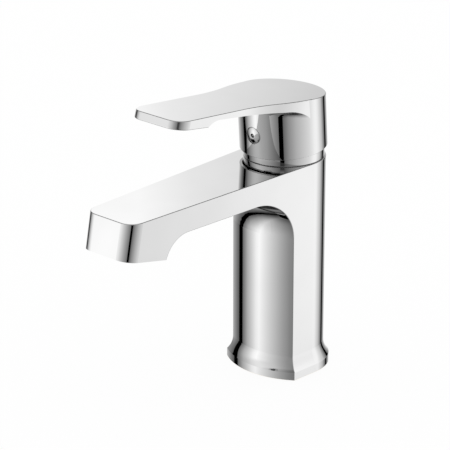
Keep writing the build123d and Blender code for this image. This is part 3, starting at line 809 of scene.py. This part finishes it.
# %% Dress the pieces
finishes = {
    body_chrome: ["faucet_body"],
    handle_chrome: ["lever_handle"],
    trim_chrome: ["bonnet", "indicator_plug", "aerator_housing"],
    brass: ["retaining_nut", "spindle"],
    pin_steel: ["pivot_pin"],
    screw_steel: ["set_screw"],
    screen_steel: ["aerator_screen"],
    pale_plastic: ["cartridge_housing", "cartridge_base", "spindle_carrier", "disc_carrier"],
    dark_plastic: ["aerator_grid", "aerator_insert"],
    ceramic: ["fixed_disc", "moving_disc"],
    rubber: [
        "base_gasket", "bonnet_seal", "cartridge_seal", "neck_seal", "base_seals", "disc_seals",
        "aerator_washer",
    ],
}
dressed = []
for finish, names in finishes.items():
    for name in names:
        nodes[name].data.materials.clear()
        nodes[name].data.materials.append(finish)
        dressed.append(name)
print("dressed", len(dressed), "of", len(nodes), "missing", sorted(set(nodes) - set(dressed)))

# %% [markdown]
# ## The plug on the handle
# The set screw that holds the handle hides behind a small chromed plug. It is pressed into the skirt,
# with a thin dark gap round its rounded rim, and a small hole in the middle takes a pick that pulls
# it out again. A lathe would turn it from bar, so it is made here as a turner thinks: ring after ring
# from the shoulder to the hole. Each ring is a radius and a height in millimetres. A disc is added at
# the shoulder, each extrude makes the next ring, and a resize and a move put it at its size.
# A sphere squashed flat would be quicker, but it has no barrel, no rim and no hole.

# %% Plug rings
millimetre = 0.001
shoulder_top = (4.6, 22.76)
shoulder_base = (4.6, 22.66)
rim_rings = [(4.6, 22.98), (4.56, 23.12), (4.45, 23.25), (4.27, 23.36), (4.0, 23.47)]
dome_rings = [(3.6, 23.59), (3.0, 23.75), (2.4, 23.88), (1.8, 23.98), (1.3, 24.03)]
hole_rings = [
    (1.2, 24.02), (1.12, 23.95), (1.08, 23.7), (1.04, 22.4), (0.98, 21.5), (0.7, 21.3), (0.3, 21.28),
]
front_rings = rim_rings + dome_rings + hole_rings
barrel_rings = [(3.8, 22.66), (3.8, 20.4), (3.55, 20.16)]


def turn_rings(start, rings):
    radius, height = start
    for next_radius, next_height in rings:
        step = (0, 0, (next_height - height) * millimetre)
        bpy.ops.mesh.extrude_region_move(
            TRANSFORM_OT_translate={"value": step, "orient_type": "GLOBAL"}
        )
        share = next_radius / radius
        middle = (0, 0, next_height * millimetre)
        bpy.ops.transform.resize(value=(share, share, 1), center_override=middle)
        radius, height = next_radius, next_height


print("plug of", len(front_rings), "rings in front and", len(barrel_rings), "behind")

# %% [markdown]
# ## Turning the plug
# The disc at the shoulder is the start. Its upper face is turned into the rim, the dome and the hole,
# and its lower face into the barrel. The barrel's first ring lies at the shoulder's own height.

# %% Turn the plug
plug_faces = 72
merge_distance = 1e-7
facing = 0.9
shoulder_depth = (shoulder_top[1] - shoulder_base[1]) * millimetre
shoulder_middle = (shoulder_top[1] + shoulder_base[1]) / 2 * millimetre
bpy.ops.object.select_all(action="DESELECT")
bpy.ops.mesh.primitive_cylinder_add(
    vertices=plug_faces,
    radius=shoulder_top[0] * millimetre,
    depth=shoulder_depth,
    location=(0, 0, shoulder_middle),
)
plug = bpy.context.object
plug.name = "turned_plug"
bpy.ops.object.transform_apply(location=True)
select_faces(plug, lambda face: face.normal.z > facing)
turn_rings(shoulder_top, front_rings)
bpy.ops.object.mode_set(mode="OBJECT")
select_faces(plug, lambda face: face.normal.z < -facing)
turn_rings(shoulder_base, barrel_rings)
bpy.ops.mesh.select_all(action="SELECT")
bpy.ops.mesh.remove_doubles(threshold=merge_distance)
bpy.ops.mesh.normals_make_consistent(inside=False)
bpy.ops.object.mode_set(mode="OBJECT")
print("plug", len(plug.data.polygons), "faces")

# %% [markdown]
# ## Setting the plug in the skirt
# The plug was turned upright. Its seat looks forward and leans with the handle, so it is turned by a
# right angle and that lean, moved to the handle's axis, and both are applied, which leaves its place
# in its mesh.

# %% Set the plug
plug_height = 0.0171
plug_smoothing = radians(50)
lean = handle_lean[0]


def pick(piece):
    bpy.ops.object.select_all(action="DESELECT")
    piece.select_set(True)
    bpy.context.view_layer.objects.active = piece


plug.rotation_euler = (pi / 2 + lean, 0, 0)
plug.location = (0, -plug_height * sin(lean), pivot_place[2] + plug_height * cos(lean))
pick(plug)
bpy.ops.object.transform_apply(location=True, rotation=True)
bpy.ops.object.shade_smooth_by_angle(angle=plug_smoothing)
plug.data.materials.append(trim_chrome)
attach(plug, "lever")
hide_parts("indicator_plug")

# %% [markdown]
# ## Threads in the three holes
# Under the foot are three tapped holes: one for the stud that pulls the mixer down, and two for the
# supply hoses. A thread is one small ridge that climbs along the wall. A stack of rings would look
# much the same, but a ring doesn't climb, and a screw would never enter it. Here a three-sided
# profile stands at the wall, a Screw modifier sweeps it round and up, and the open ends are filled.

# %% Thread helper
ridge_corners = 3
ridge_size = 0.00024
ridge_sunk = 0.00015
thread_start = 0.0008
thread_turns = 12
thread_steps = 24


def cut_thread(name, radius, pitch):
    bpy.ops.object.select_all(action="DESELECT")
    bpy.ops.mesh.primitive_circle_add(
        vertices=ridge_corners,
        radius=ridge_size,
        location=(radius + ridge_sunk - ridge_size / 2, 0, thread_start),
        rotation=(pi / 2, -pi / 2, 0),
    )
    ridge = bpy.context.object
    ridge.name = name
    bpy.ops.object.transform_apply(location=True, rotation=True)
    sweep = ridge.modifiers.new("climb", "SCREW")
    sweep.screw_offset = pitch
    sweep.iterations = thread_turns
    sweep.steps = sweep.render_steps = thread_steps
    bpy.ops.object.modifier_apply(modifier=sweep.name)
    bpy.ops.object.mode_set(mode="EDIT")
    bpy.ops.mesh.select_all(action="SELECT")
    bpy.ops.mesh.remove_doubles(threshold=merge_distance)
    bpy.ops.mesh.fill_holes(sides=ridge_corners)
    bpy.ops.mesh.select_all(action="SELECT")
    bpy.ops.mesh.normals_make_consistent(inside=False)
    bpy.ops.object.mode_set(mode="OBJECT")
    return ridge


# %% [markdown]
# ## Cutting the threads
# The stud has a coarse thread and the hoses a fine one. The two hose holes are alike, so their thread
# is modelled once and copied, and each copy keeps its own mesh. All three ridges were swept round the
# column's axis, so each is moved to its hole, and the move is applied.

# %% Threads
thread_smoothing = radians(40)


def set_thread(ridge, centre):
    pick(ridge)
    ridge.location = centre
    bpy.ops.object.transform_apply(location=True)
    bpy.ops.object.shade_smooth_by_angle(angle=thread_smoothing)
    ridge.data.materials.append(brass)
    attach(ridge, "body")
    heights = [round(vertex.co.z, 4) for vertex in ridge.data.vertices]
    print(ridge.name, len(ridge.data.polygons), "faces from", min(heights), "to", max(heights))


stud_thread = cut_thread("stud_thread", radius=0.0034, pitch=0.00125)
left_thread = cut_thread("hose_thread_left", radius=0.0045, pitch=0.001)
pick(left_thread)
bpy.ops.object.duplicate(linked=False)
right_thread = bpy.context.object
right_thread.name = "hose_thread_right"
set_thread(stud_thread, stud_place)
set_thread(left_thread, hose_places[0])
set_thread(right_thread, hose_places[1])
